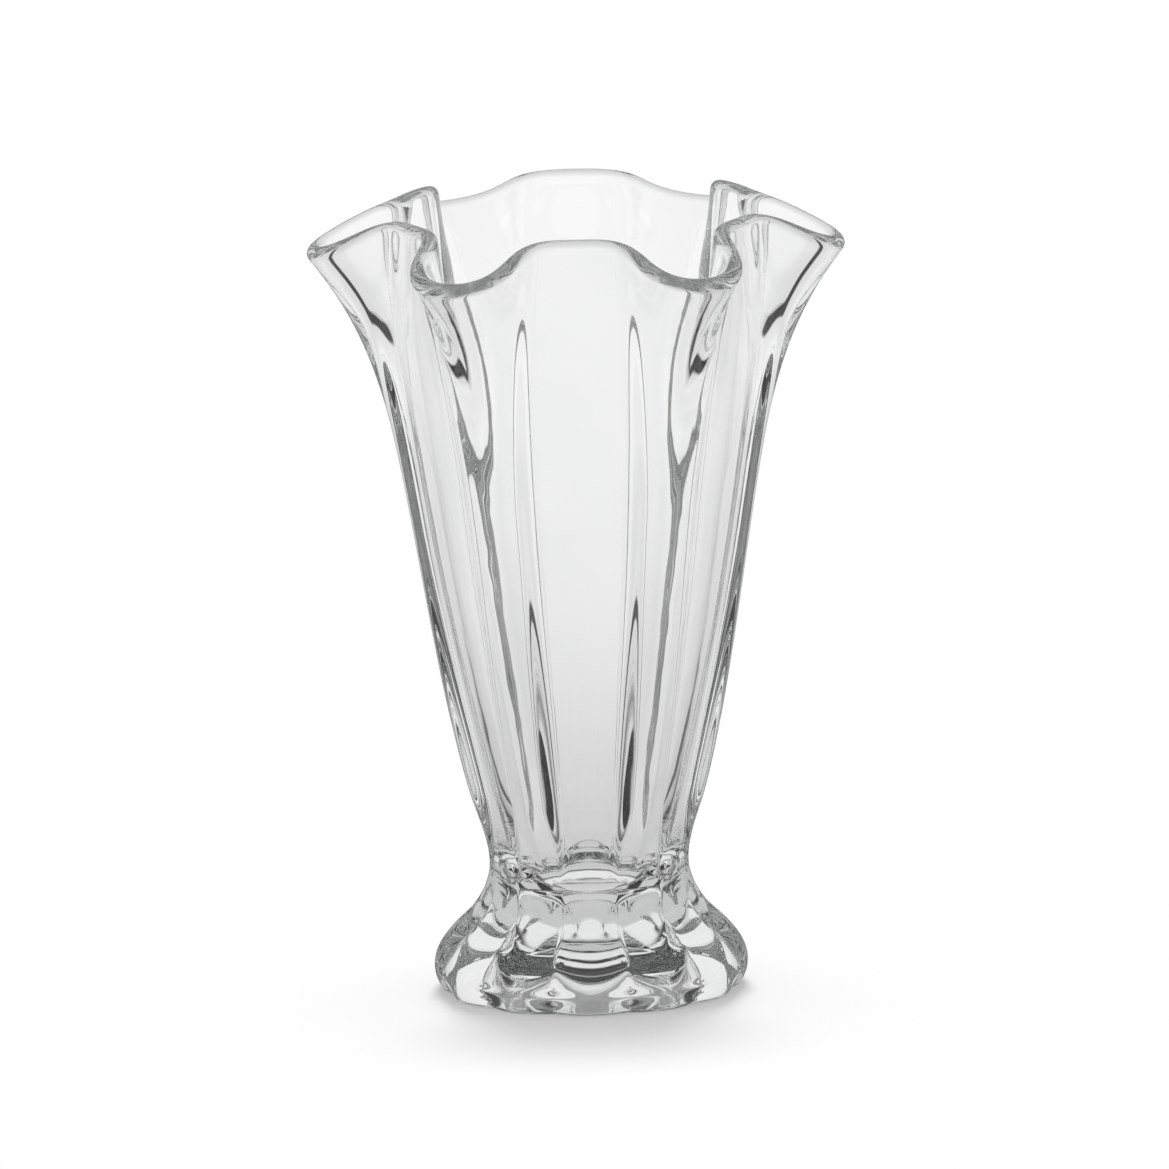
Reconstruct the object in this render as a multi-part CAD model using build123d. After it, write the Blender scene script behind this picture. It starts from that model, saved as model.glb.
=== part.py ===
from build123d import *
import os
from math import comb, cos, hypot, pi, radians, sin

import numpy as np

# Fan vase in clear pressed glass: a scalloped foot and a panelled, flared bowl with a crimped rim.
# Millimetres. Z is up, the foot rests on Z = 0, and the front faces -Y.

# Panels and lobes. The lobes are on every second panel, and the arcs lie between them.
PANELS = 12                 # panels round the vase, one of them facing the front
LOBES = 6
LOBE_SHARPNESS = 2.1        # above 1 the lobes of the rim are narrower than its arcs
LOBE_BULGE = 8.0            # degrees by which a lobe of the rim swells beside its tip
PLEAT_LOW = 0.3             # below the rim a lobe is a pleat, whose sides rise from this share
PLEAT_HIGH = 0.7            # of the wave round the vase to this share
PANEL_SHIFT = 3.5           # degrees by which the pleats are narrower, on each side
RIM_OVAL = 1.2              # front and back arcs of the rim stand out this much more than the mean

# Foot
BASE_R = 43.4               # radius where the foot meets the table
BASE_SLOPE = 0.8            # slopes are radius per height
FOOT_R = 45.7               # widest radius
FOOT_WIDEST_Z = 7.0
SCALLOP = 2.0               # depth of the notches between the panels at the table
CREASE = 4.2                # depth of the creases between the panels on the shoulder of the foot
RECESS_R = 32.0             # hollow under the foot
RECESS_DEPTH = 10.0
RECESS_FLATNESS = 0.77      # share of the hollow that its flat middle and its steep edge take

# Joint between foot and bowl
JOINT_R = 35.4
JOINT_Z = 23.0
JOINT_SLOPE = -1.05

# Bowl, outside
NECK_R = 29.0
NECK_Z = 37.0
GROOVE = 0.2                # depth of the soft grooves between the panels, which fade out at the rim
SHOULDER_Z = 59.6
SHOULDER_LOBE_R = 34.8
SHOULDER_LOBE_SLOPE = 0.26
SHOULDER_ARC_R = 30.8
SHOULDER_ARC_SLOPE = 0.22
WAIST_Z = 143.0
WAIST_LOBE_R = 50.3
WAIST_LOBE_SLOPE = 0.17
WAIST_ARC_R = 47.4
WAIST_ARC_SLOPE = 0.15
RIM_LOBE_R = 77.5           # outward, low points of the rim
RIM_LOBE_Z = 217.0
RIM_LOBE_SLOPE = 0.80
RIM_ARC_R = 57.5            # inward, high points of the rim
RIM_ARC_Z = 228.8
RIM_ARC_SLOPE = 0.03

# Bowl, inside
RIM_WALL = 5.2
SHOULDER_WALL = 6.4
FLOOR_R = 8.0               # flat middle of the floor
FLOOR_Z = 26.0
CORNER_R = 18.0             # radius at which the wall would meet the floor without its rounding
CORNER_Z = 28.0

# The outside runs over six spans, s = 0 to 6, that end at these places.
WIDEST, JOINT, NECK, SHOULDER, WAIST, RIM = range(1, 7)
PULL = 1 / 3                # length of a span's control arms over its chord
FLARE_PULL = 0.37           # the same for the last span
FOOT_PROFILE = [
    (BASE_R, 0.0, BASE_SLOPE),
    (FOOT_R, FOOT_WIDEST_Z, 0.0),
    (JOINT_R, JOINT_Z, JOINT_SLOPE),
    (NECK_R, NECK_Z, 0.0),
]
LOBE_PROFILE = FOOT_PROFILE + [
    (SHOULDER_LOBE_R, SHOULDER_Z, SHOULDER_LOBE_SLOPE),
    (WAIST_LOBE_R, WAIST_Z, WAIST_LOBE_SLOPE),
    (RIM_LOBE_R, RIM_LOBE_Z, RIM_LOBE_SLOPE),
]
ARC_PROFILE = FOOT_PROFILE + [
    (SHOULDER_ARC_R, SHOULDER_Z, SHOULDER_ARC_SLOPE),
    (WAIST_ARC_R, WAIST_Z, WAIST_ARC_SLOPE),
    (RIM_ARC_R, RIM_ARC_Z, RIM_ARC_SLOPE),
]
PANEL_ANGLE = 2 * pi / PANELS

# The skin is made of Bezier patches, each over one panel and one stretch of the profile.
ROUND_DEGREE = 10
ALONG_DEGREE = 7


def ease(value, low, high):
    """0 up to low, 1 from high on, and smooth between."""
    x = min(max((value - low) / (high - low), 0.0), 1.0)
    return x * x * (3 - 2 * x)


def bezier(points, t):
    """Radius and height on a Bezier curve with four control points."""
    weights = ((1 - t) ** 3, 3 * t * (1 - t) ** 2, 3 * t * t * (1 - t), t ** 3)
    return [sum(w * p[i] for w, p in zip(weights, points)) for i in (0, 1)]


def profile(knots, s):
    """Radius and height at s along a profile."""
    span = min(int(s), RIM - 1)
    (r0, z0, slope0), (r1, z1, slope1) = knots[span:span + 2]
    reach = hypot(r1 - r0, z1 - z0) * (FLARE_PULL if span == WAIST else PULL)
    near = reach / hypot(1, slope0)
    far = reach / hypot(1, slope1)
    arms = ((r0, z0), (r0 + near * slope0, z0 + near), (r1 - far * slope1, z1 - far), (r1, z1))
    return bezier(arms, s - span)


def wall(turn, s, pleated=True):
    """Outside without its grooves, at a turn from the front, with or without the pleats below the rim."""
    wave = sin(LOBES * turn / 2) ** 2
    pleat = ease(wave, PLEAT_LOW, PLEAT_HIGH) if pleated else 0.5
    lobe = pleat + (wave ** LOBE_SHARPNESS - pleat) * ease(s, WAIST, RIM)
    flare = max(s - WAIST, 0.0) ** 2
    lobe_r, lobe_z = profile(LOBE_PROFILE, s)
    arc_r, arc_z = profile(ARC_PROFILE, s)
    radius = arc_r + (lobe_r - arc_r) * lobe + RIM_OVAL * cos(2 * turn) * flare * (1 - lobe)
    height = arc_z + (lobe_z - arc_z) * lobe
    swing = PANEL_SHIFT * ease(s, NECK, SHOULDER) * (1 - flare) - LOBE_BULGE * lobe * flare
    angle = turn + radians(swing) * sin(LOBES * turn)
    return Vector(radius * sin(angle), -radius * cos(angle), height)


def outside(turn, s):
    """The wall with a crease or a soft groove at each edge of a panel."""
    across = (turn / PANEL_ANGLE + 0.5) % 1.0 * 2 - 1
    depth = SCALLOP * (1 - ease(s, 0, WIDEST)) + GROOVE * (1 - ease(s, WAIST, RIM))
    depth += CREASE * ease(s, WIDEST - 0.4, JOINT - 0.1) * (1 - ease(s, JOINT, NECK - 0.25))
    sharpening = ease(s, NECK - 0.5, NECK + 0.5)
    fold = across ** 2 * (1 - sharpening) + across ** 6 * sharpening
    p = wall(turn, s)
    k = 1 - depth * fold / hypot(p.X, p.Y)
    return Vector(p.X * k, p.Y * k, p.Z)


def wall_frame(turn, s):
    """Point of the wall without pleats, with its outward normal and its upward direction."""
    step = 1e-4
    p = wall(turn, s, pleated=False)
    sideways = wall(turn + step, s, pleated=False) - wall(turn - step, s, pleated=False)
    up = (p - wall(turn, s - step, pleated=False)).normalized()
    return p, sideways.cross(up).normalized(), up


def inside(turn, s):
    """Inside wall: smooth below the rim, and moved inward by the thickness of the glass."""
    p, normal, _ = wall_frame(turn, s)
    share = (s - SHOULDER) / (RIM - SHOULDER)
    return p - normal * (SHOULDER_WALL + (RIM_WALL - SHOULDER_WALL) * share)


def rim_round(turn, angle):
    """Fire-polished end of the wall, a half round from the outside to the inside."""
    p, normal, up = wall_frame(turn, RIM)
    half = RIM_WALL / 2
    return p - normal * half * (1 - cos(angle)) + up * half * sin(angle)


def well(turn, t):
    """Inside below the shoulder: from the wall round into the flat floor."""
    top = inside(turn, SHOULDER)
    reach = hypot(top.X, top.Y)
    corners = ((reach, top.Z), (CORNER_R, CORNER_Z), (CORNER_R, FLOOR_Z), (FLOOR_R, FLOOR_Z))
    radius, height = bezier(corners, t)
    return Vector(top.X / reach * radius, top.Y / reach * radius, height)


def fit(degree):
    """Where to sample a curve of this degree, and the matrix from samples to control points."""
    terms = range(degree + 1)
    places = [(1 - cos(pi * i / degree)) / 2 for i in terms]
    weights = [[comb(degree, i) * t ** i * (1 - t) ** (degree - i) for i in terms] for t in places]
    return places, np.linalg.inv(weights)


def controls(shape, panel, start, end):
    """Control points of the patch over one panel, from start to end along the shape."""
    round_places, round_matrix = fit(ROUND_DEGREE)
    along_places, along_matrix = fit(ALONG_DEGREE)
    turns = [(panel - 0.5 + u) * PANEL_ANGLE for u in round_places]
    stops = [start + (end - start) * v for v in along_places]
    samples = [[tuple(shape(turn, stop)) for stop in stops] for turn in turns]
    return np.einsum("iu,jv,uvc->ijc", round_matrix, along_matrix, np.array(samples))


def band(shape, start, end):
    """Patches all the way round the vase."""
    return [Face.make_bezier_surface(controls(shape, panel, start, end).tolist()) for panel in range(PANELS)]


def cap(shape, start, end):
    """Flat face inside the first ring of a band."""
    rings = [controls(shape, panel, start, end)[:, 0].tolist() for panel in range(PANELS)]
    return Face(Wire([Edge.make_bezier(*ring) for ring in rings]))


# Bowl: up the outside, over the rim and down the inside to the floor
bowl_faces = [cap(outside, JOINT, NECK)]
for span in range(JOINT, RIM):
    bowl_faces += band(outside, span, span + 1)
bowl_faces += band(rim_round, 0, pi)
for span in range(RIM, SHOULDER, -1):
    bowl_faces += band(inside, span, span - 1)
bowl_faces += band(well, 0, 1)
bowl_faces += [cap(well, 1, 0)]
bowl = Solid(Shell(bowl_faces))

# Foot: scalloped at the table, creased above and hollowed underneath
foot_faces = [cap(outside, 0, WIDEST), cap(outside, JOINT, WIDEST)]
for span in range(JOINT):
    foot_faces += band(outside, span, span + 1)
ceiling = Edge.make_bezier(
    (0, 0, RECESS_DEPTH),
    (RECESS_FLATNESS * RECESS_R, 0, RECESS_DEPTH),
    (RECESS_R, 0, RECESS_FLATNESS * RECESS_DEPTH),
    (RECESS_R, 0, 0),
)
middle = Edge.make_line((0, 0, 0), (0, 0, RECESS_DEPTH))
opening = Edge.make_line((RECESS_R, 0, 0), (0, 0, 0))
recess = revolve(Face(Wire([middle, ceiling, opening])), Axis.Z)
foot = Solid(Shell(foot_faces)) - recess

os.makedirs("parts", exist_ok=True)
export_step(bowl, "parts/bowl.step")
export_step(foot, "parts/foot.step")
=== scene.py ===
from math import cos, pi, sin, radians

import bpy
from bpy.props import FloatProperty, FloatVectorProperty, IntProperty, PointerProperty
from mathutils import Matrix, Vector


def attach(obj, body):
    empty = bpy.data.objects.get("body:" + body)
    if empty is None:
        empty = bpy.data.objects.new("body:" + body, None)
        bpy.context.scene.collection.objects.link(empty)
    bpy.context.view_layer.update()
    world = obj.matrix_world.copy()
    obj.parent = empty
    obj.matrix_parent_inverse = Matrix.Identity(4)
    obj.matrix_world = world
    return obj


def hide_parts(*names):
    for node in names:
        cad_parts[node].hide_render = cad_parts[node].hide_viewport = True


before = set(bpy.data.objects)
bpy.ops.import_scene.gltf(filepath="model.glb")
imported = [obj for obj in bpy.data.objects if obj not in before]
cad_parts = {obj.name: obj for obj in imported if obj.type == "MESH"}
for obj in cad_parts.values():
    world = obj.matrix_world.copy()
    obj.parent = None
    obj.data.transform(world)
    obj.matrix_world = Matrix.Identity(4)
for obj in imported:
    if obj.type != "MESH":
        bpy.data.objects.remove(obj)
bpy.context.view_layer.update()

bl_info = {
    "name": "Fan vase",
    "version": (1, 0, 0),
    "blender": (4, 5, 0),
    "location": "3D View > Sidebar > Fan vase",
    "description": "Crimped and panelled vase in clear pressed glass, with its studio stage",
    "category": "Add Mesh",
}

# The outside runs over six spans, from 0 at the table to 6 at the rim, that end at these places.
WIDEST, JOINT, NECK, SHOULDER, WAIST, RIM = range(1, 7)
PULL = 1 / 3                    # length of a span's control arms over its chord
FLARE_PULL = 0.37               # the same for the last span

# Rings of the skin, in order from the middle of the hollow under the foot to the middle of the inside floor.
# The outside has a count for each span. The inside has one down to the waist and one down to the shoulder.
RINGS = {
    "hollow": (22,),
    "rest": (2,),
    "outside": (8, 15, 12, 12, 24, 42),
    "rim": (12,),
    "inside": (34, 14),
    "well": (18,),
    "floor": (3,),
}
STEPS_PER_PANEL = 38
GATHERING = 0.55                # how far the steps of a panel gather towards its grooves
TURN_STEP = 0.002               # steps for the direction of the wall, round the vase and along the spans
ALONG_STEP = 0.004

# Unevenness of the skin. The scales are per metre, and waves are longer up and down than round the vase.
RIPPLE_SCALE = 70.0
RIPPLE_DRAWN = (1.0, 1.0, 0.35)
RIPPLE_FROM = 0.006             # heights between which the ripple comes in above the table
RIPPLE_FULL = 0.02
TINT_SCALE = 22.0
FILM_SCALE = 55.0
WAVE_SCALE = 160.0
WAVE_DRAWN = (1.0, 1.0, 0.3)

# Stage
FLOOR_HALF = 4.0
FLOOR_DROP = 0.0002             # keeps the floor clear of the resting ring
SENSOR = 36.0
FAR_CLIP = 100.0
BOUNCES = 64                    # light is mirrored many times inside the wall before it leaves the glass


# Properties

def length(name, about, millimetres):
    return FloatProperty(name=name, description=about, default=millimetres / 1000, unit="LENGTH",
                         subtype="DISTANCE", precision=4)


def number(name, about, value, subtype="NONE"):
    return FloatProperty(name=name, description=about, default=value, subtype=subtype)


def angle(name, about, degrees):
    return FloatProperty(name=name, description=about, default=radians(degrees), unit="ROTATION", subtype="ANGLE")


def colour(name, about, value):
    return FloatVectorProperty(name=name, description=about, default=value, size=3, min=0, max=1, subtype="COLOR")


class FanVaseSizes(bpy.types.PropertyGroup):
    """Sizes of the vase. Slopes are radius per height."""
    panels: IntProperty(name="Panels", description="Panels round the vase, one facing the front", default=12)
    lobes: IntProperty(name="Lobes", description="Outward lobes of the crimped rim", default=6)
    lobe_sharpness: number("Lobe sharpness", "Above 1 the lobes are narrower than the arcs between them", 2.1)
    lobe_bulge: angle("Lobe bulge", "How far a lobe swells beside its tip", 8.0)
    pleat_low: number("Pleat low", "Share of the wave round the vase at which a pleat begins to rise", 0.3, "FACTOR")
    pleat_high: number("Pleat high", "Share of the wave round the vase at which a pleat is up", 0.7, "FACTOR")
    panel_shift: angle("Panel shift", "How much narrower the pleats are, on each side", 3.5)
    rim_oval: length("Rim oval", "How far the front and back arcs of the rim stand out", 1.2)
    base_radius: length("Base radius", "Radius where the foot meets the table", 43.4)
    base_slope: number("Base slope", "Slope of the foot at the table", 0.8)
    foot_radius: length("Foot radius", "Widest radius of the foot", 45.7)
    foot_height: length("Foot height", "Height of the widest place of the foot", 7.0)
    joint_radius: length("Joint radius", "Radius where the foot runs into the bowl", 35.4)
    joint_height: length("Joint height", "Height where the foot runs into the bowl", 23.0)
    joint_slope: number("Joint slope", "Slope where the foot runs into the bowl", -1.05)
    neck_radius: length("Neck radius", "Smallest radius", 29.0)
    neck_height: length("Neck height", "Height of the smallest radius", 37.0)
    shoulder_radius: length("Shoulder radius", "Radius of the pleats above the neck", 34.8)
    shoulder_height: length("Shoulder height", "Height at which the body becomes a plain flare", 59.6)
    shoulder_slope: number("Shoulder slope", "Slope of the pleats there", 0.26)
    shoulder_in_radius: length("Shoulder inward radius", "Radius of the panels between the pleats there", 30.8)
    shoulder_in_slope: number("Shoulder inward slope", "Slope of the panels between the pleats there", 0.22)
    waist_radius: length("Waist radius", "Radius of the pleats above half height", 50.3)
    waist_height: length("Waist height", "Height at which the rim's flare begins", 143.0)
    waist_slope: number("Waist slope", "Slope of the pleats there", 0.17)
    waist_in_radius: length("Waist inward radius", "Radius of the panels between the pleats there", 47.4)
    waist_in_slope: number("Waist inward slope", "Slope of the panels between the pleats there", 0.15)
    lobe_radius: length("Lobe radius", "Radius of the rim at the lobes' tips", 77.5)
    lobe_height: length("Lobe height", "Height of the wall at the lobes' tips", 217.0)
    lobe_slope: number("Lobe slope", "Slope of the wall at the lobes' tips", 0.80)
    arc_radius: length("Arc radius", "Radius of the rim between the lobes", 57.5)
    arc_height: length("Arc height", "Height of the wall between the lobes", 228.8)
    arc_slope: number("Arc slope", "Slope of the wall between the lobes", 0.03)
    scallop: length("Scallop depth", "Depth of the notches between the panels at the table", 2.0)
    crease: length("Crease depth", "Depth of the creases on the shoulder of the foot", 4.2)
    groove: length("Groove depth", "Depth of the soft grooves between the panels of the body", 0.2)
    groove_round: number("Groove rounding", "Share of a panel that rounds into a groove", 0.10, "FACTOR")
    hollow_radius: length("Hollow radius", "Radius of the hollow under the foot", 32.0)
    hollow_depth: length("Hollow depth", "Depth of the hollow under the foot", 10.0)
    hollow_flatness: number("Hollow flatness", "Share of the hollow that its flat middle and steep edge take", 0.77,
                            "FACTOR")
    rim_wall: length("Rim wall", "Thickness of the wall at the rim", 5.2)
    shoulder_wall: length("Shoulder wall", "Thickness of the wall above the neck", 6.4)
    corner_radius: length("Corner radius", "Radius at which wall and floor would meet without rounding", 18.0)
    corner_height: length("Corner height", "Height at which wall and floor would meet without rounding", 28.0)
    floor_radius: length("Floor radius", "Radius of the flat middle of the floor", 8.0)
    floor_height: length("Floor height", "Height of the inside floor", 26.0)
    ripple: length("Ripple", "Depth of the slight unevenness of fire-polished glass", 0.03)


class FanVaseGlass(bpy.types.PropertyGroup):
    """Finish of the clear glass."""
    clear: colour("Clear glass", "Colour of the glass where it is clearest", (0.990, 0.993, 0.992))
    faint: colour("Faint tint", "Colour of the glass where it is least clear", (0.972, 0.978, 0.976))
    index: number("Refractive index", "Index of soda-lime glass", 1.5)
    film: number("Handling film", "Roughness where the polished surface is least clean", 0.03, "FACTOR")
    waves: number("Skin waves", "Strength of the fine waves in the skin", 0.05, "FACTOR")
    depth_tint: colour("Depth tint", "Colour that deep glass takes on", (0.50, 0.52, 0.52))
    depth: number("Depth", "How quickly deep glass takes on its colour", 4.5)


class FanVaseStage(bpy.types.PropertyGroup):
    """Floor, surroundings, lamp and camera."""
    floor: colour("Floor", "Colour of the pale floor", (0.90, 0.90, 0.90))
    white: number("White", "Level of the white that stands round the stage", 1.0)
    cards: number("Cards", "Level of the dark cards in the white", 0.06)
    card_turn: angle("Card turn", "Turn from straight behind to the middle of a dark card", 66.0)
    card_half: angle("Card half width", "Half the width of a dark card", 10.0)
    card_soft: angle("Card softness", "Width over which a dark card fades into the white", 6.0)
    ceiling: number("Ceiling", "Level overhead", 0.06)
    ceiling_from: angle("Ceiling from", "Rise at which the surroundings begin to fade into the ceiling", 35.0)
    ceiling_full: angle("Ceiling full", "Rise above which there is only the ceiling", 50.0)
    front: number("Front", "Level in front of the vase, where the camera stands", 0.35)
    front_from: number("Front from", "Share of the way forward at which the front begins", 0.2, "FACTOR")
    front_full: number("Front full", "Share of the way forward past which there is only the front", 0.6, "FACTOR")
    mirrored: number("Mirrored share", "Share of the surroundings that the glass mirrors", 0.3, "FACTOR")
    fill: number("Fill", "Level of the soft light on the floor", 0.6)
    # Painted shade: the glow that the glass sees on the floor is darker close to the vase, as if in its shadow, fading
    # out over the reach below
    near: number("Near floor", "Level of the floor close to the vase as the glass shows it", 0.70, "FACTOR")
    painted_shade_reach: length("Near floor reach", "Distance at which the floor has the level of the surroundings", 800.0)
    lift: number("Floor lift", "Share of plain white in the floor as the camera sees it", 0.27, "FACTOR")
    lift_from: length("Floor lift from", "Distance at which the floor begins to fade into plain white", 50.0)
    lift_full: length("Floor lift full", "Distance past which the floor is plain white", 130.0)
    lamp: FloatProperty(name="Back lamp", description="Power of the soft lamp behind the vase", default=14.5,
                        unit="POWER")
    lamp_width: length("Lamp width", "Width of the soft lamp", 500.0)
    lamp_drop: length("Lamp drop", "Height of the soft lamp from edge to edge", 700.0)
    lamp_distance: length("Lamp distance", "Distance from the soft lamp to the vase", 1250.0)
    lamp_rise: angle("Lamp rise", "Angle at which the soft lamp looks down", 40.0)
    distance: length("Camera distance", "Distance from the camera to the vase", 7000.0)
    rise: angle("Camera rise", "Angle at which the camera looks down", 11.5)
    roll: angle("Camera roll", "Lean of the picture", 1.25)
    view_width: length("View width", "Width of the picture at the vase", 340.18)
    aim: FloatVectorProperty(name="Camera aim", description="Place that is in the middle of the picture",
                             default=(0.0004, 0.0, 0.1189), size=3, unit="LENGTH", subtype="TRANSLATION")


# Node trees written as expressions

class Value:
    """A socket that joins Math nodes through Python's operators."""

    def __init__(self, kit, socket):
        self.kit = kit
        self.socket = socket

    def __add__(self, other):
        return self.kit.math("ADD", self, other)

    def __radd__(self, other):
        return self.kit.math("ADD", other, self)

    def __sub__(self, other):
        return self.kit.math("SUBTRACT", self, other)

    def __rsub__(self, other):
        return self.kit.math("SUBTRACT", other, self)

    def __mul__(self, other):
        return self.kit.math("MULTIPLY", self, other)

    def __rmul__(self, other):
        return self.kit.math("MULTIPLY", other, self)

    def __truediv__(self, other):
        return self.kit.math("DIVIDE", self, other)

    def __rtruediv__(self, other):
        return self.kit.math("DIVIDE", other, self)

    def __pow__(self, other):
        return self.kit.math("POWER", self, other)

    def __rpow__(self, other):
        return self.kit.math("POWER", other, self)

    def __gt__(self, other):
        return self.kit.math("GREATER_THAN", self, other)


class Kit:
    """Adds nodes and links to one node tree."""

    def __init__(self, tree):
        self.tree = tree

    def node(self, kind, settings=None, sockets=None):
        """One node: its type, its settings, then the values or links of its sockets."""
        node = self.tree.nodes.new(kind)
        for key, value in (settings or {}).items():
            setattr(node, key, value)
        for key, value in (sockets or {}).items():
            if isinstance(value, Value):
                self.tree.links.new(value.socket, node.inputs[key])
            else:
                node.inputs[key].default_value = value
        return node

    def out(self, node, key=0):
        return Value(self, node.outputs[key])

    def math(self, operation, *terms):
        return self.out(self.node("ShaderNodeMath", {"operation": operation}, dict(enumerate(terms))))

    def root(self, value):
        return self.math("SQRT", value)

    def sine(self, value):
        return self.math("SINE", value)

    def cosine(self, value):
        return self.math("COSINE", value)

    def vector(self, operation, *terms):
        return self.out(self.node("ShaderNodeVectorMath", {"operation": operation}, dict(enumerate(terms))))

    def scaled(self, vector, factor):
        node = self.node("ShaderNodeVectorMath", {"operation": "SCALE"}, {0: vector, "Scale": factor})
        return self.out(node)

    def split(self, vector):
        node = self.node("ShaderNodeSeparateXYZ", None, {0: vector})
        return [self.out(node, i) for i in range(3)]

    def join(self, x, y, z):
        return self.out(self.node("ShaderNodeCombineXYZ", None, {0: x, 1: y, 2: z}))

    def noise(self, place, scale, detail):
        node = self.node("ShaderNodeTexNoise", None, {"Vector": place, "Scale": scale, "Detail": detail})
        return self.out(node)

    def ease(self, value, low, high):
        """0 up to low, 1 from high on, and smooth between."""
        sockets = {"Value": value, "From Min": low, "From Max": high}
        return self.out(self.node("ShaderNodeMapRange", {"interpolation_type": "SMOOTHSTEP"}, sockets))

    def held(self, value, low=0.0, high=1.0):
        return self.math("MINIMUM", self.math("MAXIMUM", value, low), high)

    def choose(self, test, no, yes):
        sockets = {"Switch": test, "False": no, "True": yes}
        return self.out(self.node("GeometryNodeSwitch", {"input_type": "VECTOR"}, sockets))


def blend(low, high, share):
    """From low at share 0 to high at share 1."""
    return low + (high - low) * share


def bezier_weights(t):
    """Weights of the four control points of a Bezier curve."""
    u = 1 - t
    return u * u * u, 3 * t * u * u, 3 * t * t * u, t * t * t


def new_group(name, inputs, outputs):
    """Geometry tree with named inputs (name, kind, default, description) and outputs (name, kind)."""
    tree = bpy.data.node_groups.new(name, "GeometryNodeTree")
    for title, kind, default, about in inputs:
        socket = tree.interface.new_socket(title, in_out="INPUT", socket_type=kind)
        socket.description = about
        if default is not None:
            socket.default_value = default
    for title, kind in outputs:
        tree.interface.new_socket(title, in_out="OUTPUT", socket_type=kind)
    kit = Kit(tree)
    return kit, kit.node("NodeGroupInput")


def size_inputs():
    """Inputs of a tree that takes every size of the vase."""
    kinds = {"INT": "NodeSocketInt", "FLOAT": "NodeSocketFloat"}
    rna = FanVaseSizes.bl_rna.properties
    return [(rna[key].name, kinds[rna[key].type], rna[key].default, rna[key].description)
            for key in FanVaseSizes.__annotations__]


class Sizes:
    """The sizes of the vase as the sockets of a tree's input node, by property name."""

    def __init__(self, kit, source):
        self.sockets = {}
        for key in FanVaseSizes.__annotations__:
            title = FanVaseSizes.bl_rna.properties[key].name
            self.sockets[title] = kit.out(source, title)
            setattr(self, key, self.sockets[title])


def span_group():
    """One span of the profile: what it adds to radius and height, as a Bezier set by its end slopes."""
    names = ("Along", "Radius gain", "Height gain", "Start slope", "End slope", "Pull")
    kit, source = new_group("Profile span", [(name, "NodeSocketFloat", None, name) for name in names],
                            [("Radius", "NodeSocketFloat"), ("Height", "NodeSocketFloat")])
    t, wide, high, start, end, pull = (kit.out(source, name) for name in names)
    reach = pull * kit.root(wide * wide + high * high)
    near = reach / kit.root(1 + start * start)
    far = reach / kit.root(1 + end * end)
    _, first, second, last = bezier_weights(t)
    radius = first * near * start + second * (wide - far * end) + last * wide
    height = first * near + second * (high - far) + last * high
    kit.node("NodeGroupOutput", None, {"Radius": radius, "Height": height})
    return kit.tree


def wall_group(span):
    """The outside without grooves: a place for a turn from the front and a way along the six spans."""
    extra = [("Turn", "NodeSocketFloat", None, "Angle from the front"),
             ("Along", "NodeSocketFloat", None, "Way along the spans, from 0 at the table to 6 at the rim"),
             ("Even", "NodeSocketFloat", None, "Share by which the pleats are evened out")]
    kit, source = new_group("Wall", extra + size_inputs(), [("Place", "NodeSocketVector")])
    size = Sizes(kit, source)
    turn, along, even = (kit.out(source, name) for name in ("Turn", "Along", "Even"))

    def profile(knots):
        """Radius and height along knots of radius, height and slope, one for each end of a span."""
        radius, height, _ = knots[0]
        for number, (start, end) in enumerate(zip(knots, knots[1:])):
            sockets = {"Along": kit.held(along - number), "Radius gain": end[0] - start[0],
                       "Height gain": end[1] - start[1], "Start slope": start[2], "End slope": end[2],
                       "Pull": FLARE_PULL if number == WAIST else PULL}
            node = kit.node("GeometryNodeGroup", {"node_tree": span}, sockets)
            radius = radius + kit.out(node, "Radius")
            height = height + kit.out(node, "Height")
        return radius, height

    low = [(size.base_radius, 0.0, size.base_slope), (size.foot_radius, size.foot_height, 0.0),
           (size.joint_radius, size.joint_height, size.joint_slope), (size.neck_radius, size.neck_height, 0.0)]
    lobes = [(size.shoulder_radius, size.shoulder_height, size.shoulder_slope),
             (size.waist_radius, size.waist_height, size.waist_slope),
             (size.lobe_radius, size.lobe_height, size.lobe_slope)]
    arcs = [(size.shoulder_in_radius, size.shoulder_height, size.shoulder_in_slope),
            (size.waist_in_radius, size.waist_height, size.waist_in_slope),
            (size.arc_radius, size.arc_height, size.arc_slope)]
    out_radius, out_height = profile(low + lobes)
    in_radius, in_height = profile(low + arcs)

    # Pleats below the rim turn into the narrower lobes of the rim
    flare = kit.held(along - WAIST)
    flare = flare * flare
    wave = kit.sine(size.lobes * turn * 0.5)
    wave = wave * wave
    pleat = blend(kit.ease(wave, size.pleat_low, size.pleat_high), 0.5, even)
    lobe = blend(pleat, wave ** size.lobe_sharpness, kit.ease(along, WAIST, RIM))
    oval = size.rim_oval * kit.cosine(2 * turn) * flare * (1 - lobe)
    radius = blend(in_radius, out_radius, lobe) + oval
    height = blend(in_height, out_height, lobe)

    # Pleats are drawn in at their sides, and the lobes of the rim swell
    drawn_in = size.panel_shift * kit.ease(along, NECK, SHOULDER) * (1 - flare)
    at = turn + kit.sine(size.lobes * turn) * (drawn_in - size.lobe_bulge * lobe * flare)
    place = kit.join(radius * kit.sine(at), -1 * radius * kit.cosine(at), height)
    kit.node("NodeGroupOutput", None, {"Place": place})
    return kit.tree


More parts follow.
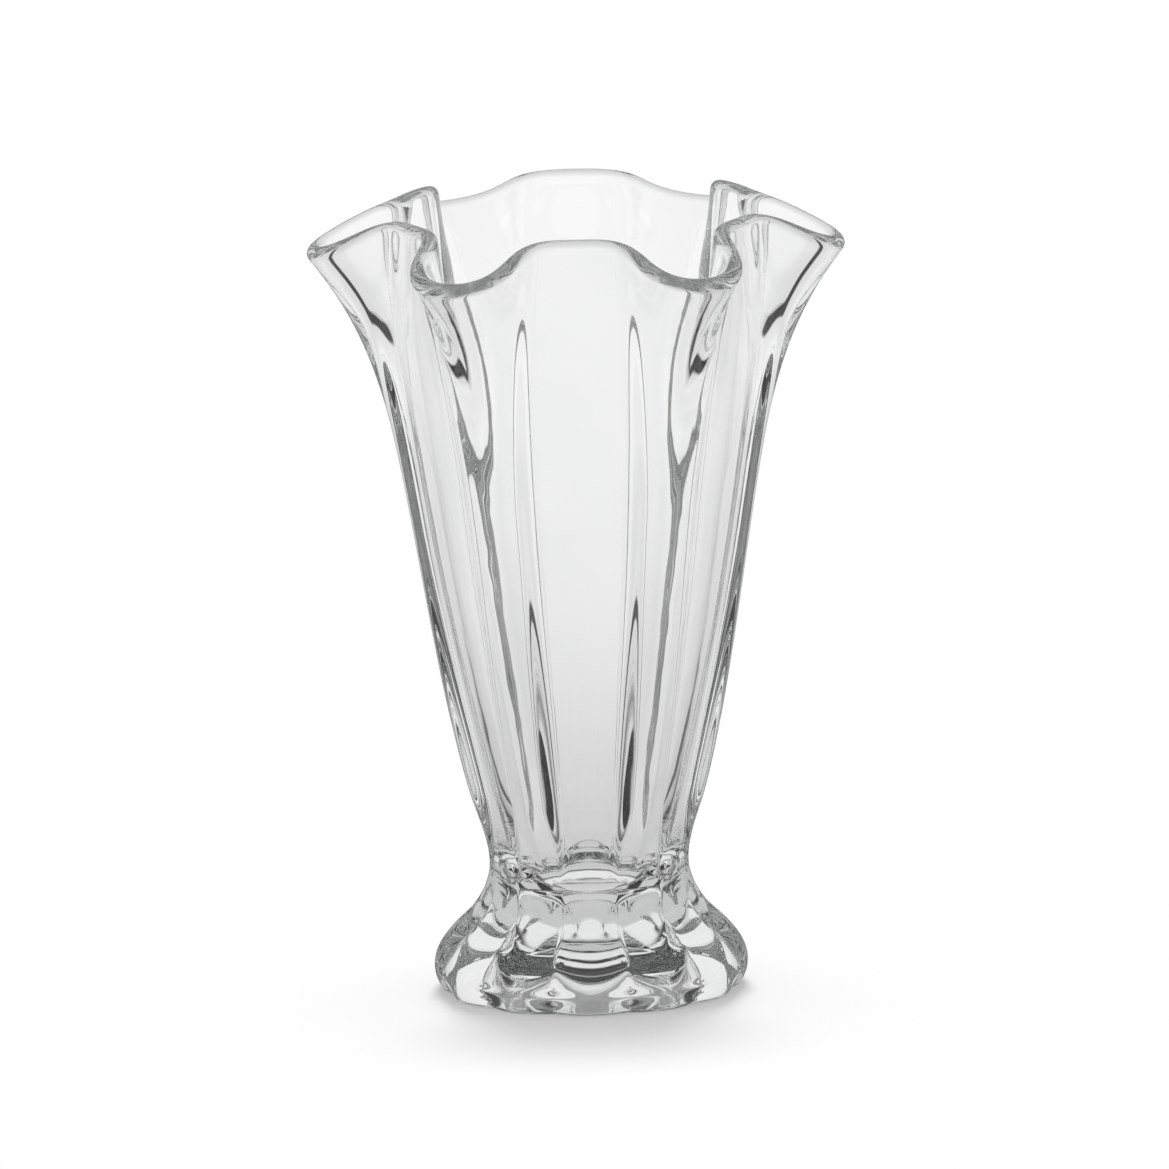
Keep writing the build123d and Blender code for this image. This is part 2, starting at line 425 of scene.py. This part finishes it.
def skin_group(wall):
    """The whole skin of the glass as one closed mesh."""
    inputs = size_inputs() + [("Glass", "NodeSocketMaterial", None, "Material of the glass")]
    kit, source = new_group("Fan vase skin", inputs, [("Mesh", "NodeSocketGeometry")])
    size = Sizes(kit, source)
    starts = {}
    count = 0
    for name, rings in RINGS.items():
        starts[name] = count
        count += sum(rings)
    panels = FanVaseSizes.bl_rna.properties["panels"].default
    grid = kit.node("GeometryNodeMeshGrid", None, {"Size X": 1.0, "Size Y": 1.0, "Vertices X": count + 1,
                                                   "Vertices Y": panels * STEPS_PER_PANEL + 1})
    ring, way_round, _ = kit.split(kit.out(kit.node("GeometryNodeInputPosition")))
    ring = (ring + 0.5) * count

    # Turn from the front, with the steps closer together towards the grooves
    cell = (way_round + 0.5) * size.panels + 0.5
    panel = kit.math("FLOOR", cell)
    across = (cell - panel) * 2 - 1
    across = across + kit.sine(across * pi) * (GATHERING / pi)
    turn = (panel + across * 0.5) * (2 * pi) / size.panels

    def way_along(name):
        """Way along some rings: it grows by 1 over each of their counts."""
        start = starts[name]
        ways = []
        for rings in RINGS[name]:
            ways.append(kit.held((ring - start) / rings))
            start += rings
        return sum(ways[1:], ways[0])

    def wall_place(turn, along, even):
        sockets = {**size.sockets, "Turn": turn, "Along": along, "Even": even}
        return kit.out(kit.node("GeometryNodeGroup", {"node_tree": wall}, sockets))

    def pleated(turn, along):
        return wall_place(turn, along, 0.0)

    def smooth(turn, along):
        return wall_place(turn, along, 1.0)

    def circle(radius, height):
        return kit.join(radius * kit.sine(turn), -1 * radius * kit.cosine(turn), height)

    # Outside: the wall with a crease or a soft groove between its panels, rounded at the bottom
    along = way_along("outside")
    edge = kit.math("ABSOLUTE", across)
    flat = 1 - size.groove_round
    power = blend(2, 5, kit.ease(along, NECK - 0.5, NECK + 0.5))
    turned = kit.math("MAXIMUM", edge - flat, 0.0) / size.groove_round
    fall = power * flat ** (power - 1) * size.groove_round
    fold = kit.math("MINIMUM", edge, flat) ** power + fall * (turned - turned * turned * 0.5)
    fold = fold / (flat ** power + fall * 0.5)
    depth = size.groove * (1 - kit.ease(along, WAIST, RIM)) + size.scallop * (1 - kit.ease(along, 0, WIDEST))
    creased = kit.ease(along, WIDEST - 0.4, JOINT - 0.1) * (1 - kit.ease(along, JOINT, NECK - 0.25))
    depth = depth + size.crease * creased
    x, y, z = kit.split(pleated(turn, along))
    narrow = 1 - depth * fold / kit.root(x * x + y * y)
    outside = kit.join(x * narrow, y * narrow, z)

    # Inside: the wall without its pleats, moved inward at right angles
    back = RIM - way_along("inside")
    middle = smooth(turn, back)
    sideways = kit.vector("SUBTRACT", smooth(turn + TURN_STEP, back), smooth(turn - TURN_STEP, back))
    up = kit.vector("NORMALIZE", kit.vector("SUBTRACT", middle, smooth(turn, back - ALONG_STEP)))
    normal = kit.vector("NORMALIZE", kit.vector("CROSS_PRODUCT", sideways, up))
    thick = blend(size.shoulder_wall, size.rim_wall, (back - SHOULDER) / (RIM - SHOULDER))
    inside = kit.vector("SUBTRACT", middle, kit.scaled(normal, thick))

    # Rim: a fire-polished half round from the outside to the inside
    bend = way_along("rim") * pi
    half = size.rim_wall * 0.5
    inward = kit.scaled(normal, half * (1 - kit.cosine(bend)))
    over = kit.scaled(up, half * kit.sine(bend))
    rim = kit.vector("ADD", kit.vector("SUBTRACT", middle, inward), over)

    # Well: from the inside round into the floor, then across the floor to its middle
    first, second, third, last = bezier_weights(way_along("well"))
    x, y, z = kit.split(inside)
    top = kit.root(x * x + y * y)
    radius = top * first + size.corner_radius * (second + third) + size.floor_radius * last
    height = z * first + size.corner_height * second + size.floor_height * (third + last)
    radius = radius * (1 - way_along("floor"))
    well = kit.join(x / top * radius, y / top * radius, height)

    # Underside: the hollow from its flat middle to its steep edge, then the resting ring
    first, second, third, last = bezier_weights(way_along("hollow"))
    reach = size.hollow_flatness * second + third + last
    dome = first + second + size.hollow_flatness * third
    hollow = circle(size.hollow_radius * reach, size.hollow_depth * dome)
    step = way_along("rest")
    inner_edge = circle(size.hollow_radius, 0.0)
    rest = kit.vector("ADD", kit.scaled(inner_edge, 1 - step), kit.scaled(outside, step))

    skin = hollow
    for name, shape in (("rest", rest), ("outside", outside), ("rim", rim), ("inside", inside), ("well", well)):
        skin = kit.choose(ring > starts[name] + 0.5, skin, shape)
    mesh = kit.node("GeometryNodeSetPosition", None, {"Geometry": kit.out(grid), "Position": skin})
    mesh = kit.node("GeometryNodeMergeByDistance", None, {"Geometry": kit.out(mesh), "Distance": 1e-6})
    mesh = kit.node("GeometryNodeFlipFaces", None, {0: kit.out(mesh)})

    # Slight unevenness, left off where the foot rests
    place = kit.out(kit.node("GeometryNodeInputPosition"))
    clear_of_table = kit.ease(kit.split(place)[2], RIPPLE_FROM, RIPPLE_FULL)
    wave = kit.noise(kit.vector("MULTIPLY", place, RIPPLE_DRAWN), RIPPLE_SCALE, 1.0)
    push = kit.scaled(kit.out(kit.node("GeometryNodeInputNormal")), (wave - 0.5) * 2 * size.ripple * clear_of_table)
    mesh = kit.node("GeometryNodeSetPosition", None, {"Geometry": kit.out(mesh), "Offset": push})
    mesh = kit.node("GeometryNodeSetShadeSmooth", None, {"Geometry": kit.out(mesh)})
    mesh = kit.node("GeometryNodeRealizeInstances", None, {"Geometry": kit.out(mesh)})
    mesh = kit.node("GeometryNodeSetMaterial", None, {"Geometry": kit.out(mesh), "Material": kit.out(source, "Glass")})
    kit.node("NodeGroupOutput", None, {"Mesh": kit.out(mesh)})
    return kit.tree


# Materials

def new_material(name):
    material = bpy.data.materials.new(name)
    material.use_nodes = True
    material.node_tree.nodes.clear()
    return material, Kit(material.node_tree)


def clear_glass(glass):
    """Clear pressed glass, with a faint tint, a film from handling and fine waves in its skin."""
    material, kit = new_material("clear_glass")
    place = kit.out(kit.node("ShaderNodeTexCoord"), "Object")
    cloud = kit.ease(kit.noise(place, TINT_SCALE, 3.0), 0.35, 0.65)
    tint = kit.node("ShaderNodeMix", {"data_type": "RGBA"},
                    {"Factor": cloud, 6: (*glass.clear, 1), 7: (*glass.faint, 1)})
    film = kit.ease(kit.noise(place, FILM_SCALE, 4.0), 0.5, 0.8) * glass.film
    drawn = kit.out(kit.node("ShaderNodeMapping", None, {"Vector": place, "Scale": WAVE_DRAWN}))
    bump = kit.node("ShaderNodeBump", None, {"Strength": glass.waves, "Distance": 0.001,
                                             "Height": kit.noise(drawn, WAVE_SCALE, 1.0)})
    shader = kit.node("ShaderNodeBsdfPrincipled", None, {
        "Base Color": kit.out(tint, 2), "Roughness": film, "IOR": glass.index, "Transmission Weight": 1.0,
        "Normal": kit.out(bump)})
    deep = kit.node("ShaderNodeVolumeAbsorption", None, {"Color": (*glass.depth_tint, 1), "Density": glass.depth})
    kit.node("ShaderNodeOutputMaterial", None, {"Surface": kit.out(shader), "Volume": kit.out(deep)})
    return material


def surround(kit, stage, x, y, path):
    """Level of the surroundings in a direction: white all round, with four dark cards standing in it."""
    off = kit.math("PINGPONG", kit.math("ARCTAN2", x, y) + 2 * pi, pi / 2)
    beside = kit.math("ABSOLUTE", off - stage.card_turn)
    soft = stage.card_soft / 2
    level = blend(stage.cards, stage.white, kit.ease(beside, stage.card_half - soft, stage.card_half + soft))
    return level * blend(1, stage.mirrored, kit.out(path, "Is Reflection Ray"))


def pale_floor(stage):
    """Pale floor that keeps the shadow close to the vase and glows plain white further out, and that the glass sees as
    a glow like the surroundings, with painted shade close to the vase.
    """
    material, kit = new_material("pale_floor")
    x, y, _ = kit.split(kit.out(kit.node("ShaderNodeTexCoord"), "Object"))
    away = kit.root(x * x + y * y)
    path = kit.node("ShaderNodeLightPath")
    camera = kit.out(path, "Is Camera Ray")
    through = kit.math("MAXIMUM", kit.out(path, "Is Glossy Ray"), kit.out(path, "Is Transmission Ray"))
    # Painted shade: the glow that the glass sees is darker close to the vase, as if in its shadow
    near = blend(stage.near, 1, kit.ease(away, stage.lift_from, stage.painted_shade_reach))
    level = blend(surround(kit, stage, x, y, path) * near, 1.0, camera)
    lift = blend(stage.lift, 1.0, kit.ease(away, stage.lift_from, stage.lift_full))
    paint = kit.node("ShaderNodeBsdfDiffuse", None, {"Color": (*stage.floor, 1)})
    glow = kit.node("ShaderNodeEmission", None, {"Color": level})
    floor = kit.node("ShaderNodeMixShader", None, {0: camera * lift + through, 1: kit.out(paint), 2: kit.out(glow)})
    kit.node("ShaderNodeOutputMaterial", None, {"Surface": kit.out(floor)})
    return material


def studio_world(stage):
    """White to the camera, soft on the floor, and white with dark cards and a dim front to the glass."""
    world = bpy.data.worlds.new("studio")
    world.use_nodes = True
    world.node_tree.nodes.clear()
    kit = Kit(world.node_tree)
    x, y, z = kit.split(kit.out(kit.node("ShaderNodeTexCoord"), "Generated"))
    path = kit.node("ShaderNodeLightPath")
    level = surround(kit, stage, x, y, path)
    level = blend(level, stage.front, kit.ease(-1 * y, stage.front_from, stage.front_full))
    level = blend(level, stage.ceiling, kit.ease(z, sin(stage.ceiling_from), sin(stage.ceiling_full)))
    level = blend(level, stage.fill, kit.out(path, "Is Diffuse Ray"))
    level = blend(level, 1.0, kit.out(path, "Is Camera Ray"))
    sky = kit.node("ShaderNodeBackground", None, {"Color": level})
    kit.node("ShaderNodeOutputWorld", None, {"Surface": kit.out(sky)})
    return world


# Operators

class FANVASE_OT_make_glass(bpy.types.Operator):
    """Make the glass skin of the vase from its sizes"""
    bl_idname = "fan_vase.make_glass"
    bl_label = "Make the glass"

    def execute(self, context):
        sizes = context.scene.fan_vase_sizes
        tree = skin_group(wall_group(span_group()))
        piece = bpy.data.objects.new("vase_glass", bpy.data.meshes.new("vase_glass"))
        context.scene.collection.objects.link(piece)
        modifier = piece.modifiers.new("Skin", "NODES")
        modifier.node_group = tree
        sockets = {item.name: item.identifier for item in tree.interface.items_tree if item.in_out == "INPUT"}
        for key in FanVaseSizes.__annotations__:
            modifier[sockets[sizes.bl_rna.properties[key].name]] = getattr(sizes, key)
        modifier[sockets["Glass"]] = clear_glass(context.scene.fan_vase_glass)
        evaluated = piece.evaluated_get(context.evaluated_depsgraph_get())
        mesh = bpy.data.meshes.new_from_object(evaluated)
        piece.modifiers.remove(modifier)
        piece.data = mesh
        mesh.name = "vase_glass"
        if not mesh.polygons:
            raise RuntimeError("the skin of the vase is empty")
        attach(piece, "root")
        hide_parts("bowl", "foot")
        return {"FINISHED"}


class FANVASE_OT_make_stage(bpy.types.Operator):
    """Make the floor, the surroundings, the lamp and the camera"""
    bl_idname = "fan_vase.make_stage"
    bl_label = "Make the stage"

    def execute(self, context):
        scene = context.scene
        stage = scene.fan_vase_stage
        mesh = bpy.data.meshes.new("floor")
        corners = [(x * FLOOR_HALF, y * FLOOR_HALF, -FLOOR_DROP) for x, y in ((-1, -1), (1, -1), (1, 1), (-1, 1))]
        mesh.from_pydata(corners, [], [(0, 1, 2, 3)])
        mesh.materials.append(pale_floor(stage))
        floor = bpy.data.objects.new("floor", mesh)
        scene.collection.objects.link(floor)
        scene.world = studio_world(stage)

        lamp = bpy.data.lights.new("back_lamp", "AREA")
        lamp.shape = "RECTANGLE"
        lamp.size = stage.lamp_width
        lamp.size_y = stage.lamp_drop
        lamp.energy = stage.lamp
        lamp_object = bpy.data.objects.new("back_lamp", lamp)
        away = Vector((0, cos(stage.lamp_rise), sin(stage.lamp_rise)))
        lamp_object.location = away * stage.lamp_distance
        lamp_object.rotation_euler = away.to_track_quat("Z", "Y").to_euler()
        lamp_object.visible_transmission = False
        lamp_object.visible_glossy = False
        scene.collection.objects.link(lamp_object)

        camera = bpy.data.cameras.new("camera")
        camera.sensor_width = SENSOR
        camera.lens = SENSOR * stage.distance / stage.view_width
        camera.clip_end = FAR_CLIP
        camera_object = bpy.data.objects.new("camera", camera)
        back = Vector((0, -cos(stage.rise), sin(stage.rise)))
        up = Vector((0, sin(stage.rise), cos(stage.rise)))
        right = Vector((1, 0, 0))
        leaning_up = up * cos(stage.roll) + right * sin(stage.roll)
        leaning_right = right * cos(stage.roll) - up * sin(stage.roll)
        turned = Matrix((leaning_right, leaning_up, back)).transposed().to_4x4()
        camera_object.matrix_world = Matrix.Translation(Vector(stage.aim) + back * stage.distance) @ turned
        scene.collection.objects.link(camera_object)
        scene.camera = camera_object
        scene.view_settings.view_transform = "Standard"
        scene.cycles.max_bounces = BOUNCES
        scene.cycles.transmission_bounces = BOUNCES
        scene.cycles.glossy_bounces = BOUNCES
        return {"FINISHED"}


class FANVASE_PT_parts(bpy.types.Panel):
    """Lists the steps that make the vase, and its properties"""
    bl_label = "Fan vase"
    bl_space_type = "VIEW_3D"
    bl_region_type = "UI"
    bl_category = "Fan vase"

    def draw(self, context):
        for step in (FANVASE_OT_make_glass, FANVASE_OT_make_stage):
            self.layout.operator(step.bl_idname)
        for group in (context.scene.fan_vase_sizes, context.scene.fan_vase_glass, context.scene.fan_vase_stage):
            box = self.layout.box()
            for key in group.__annotations__:
                box.prop(group, key)


CLASSES = (FanVaseSizes, FanVaseGlass, FanVaseStage, FANVASE_OT_make_glass, FANVASE_OT_make_stage, FANVASE_PT_parts)


def register():
    for item in CLASSES:
        bpy.utils.register_class(item)
    bpy.types.Scene.fan_vase_sizes = PointerProperty(type=FanVaseSizes)
    bpy.types.Scene.fan_vase_glass = PointerProperty(type=FanVaseGlass)
    bpy.types.Scene.fan_vase_stage = PointerProperty(type=FanVaseStage)


def unregister():
    del bpy.types.Scene.fan_vase_stage
    del bpy.types.Scene.fan_vase_glass
    del bpy.types.Scene.fan_vase_sizes
    for item in reversed(CLASSES):
        bpy.utils.unregister_class(item)


def main():
    register()
    bpy.ops.fan_vase.make_glass()
    bpy.ops.fan_vase.make_stage()


if __name__ == "__main__":
    main()
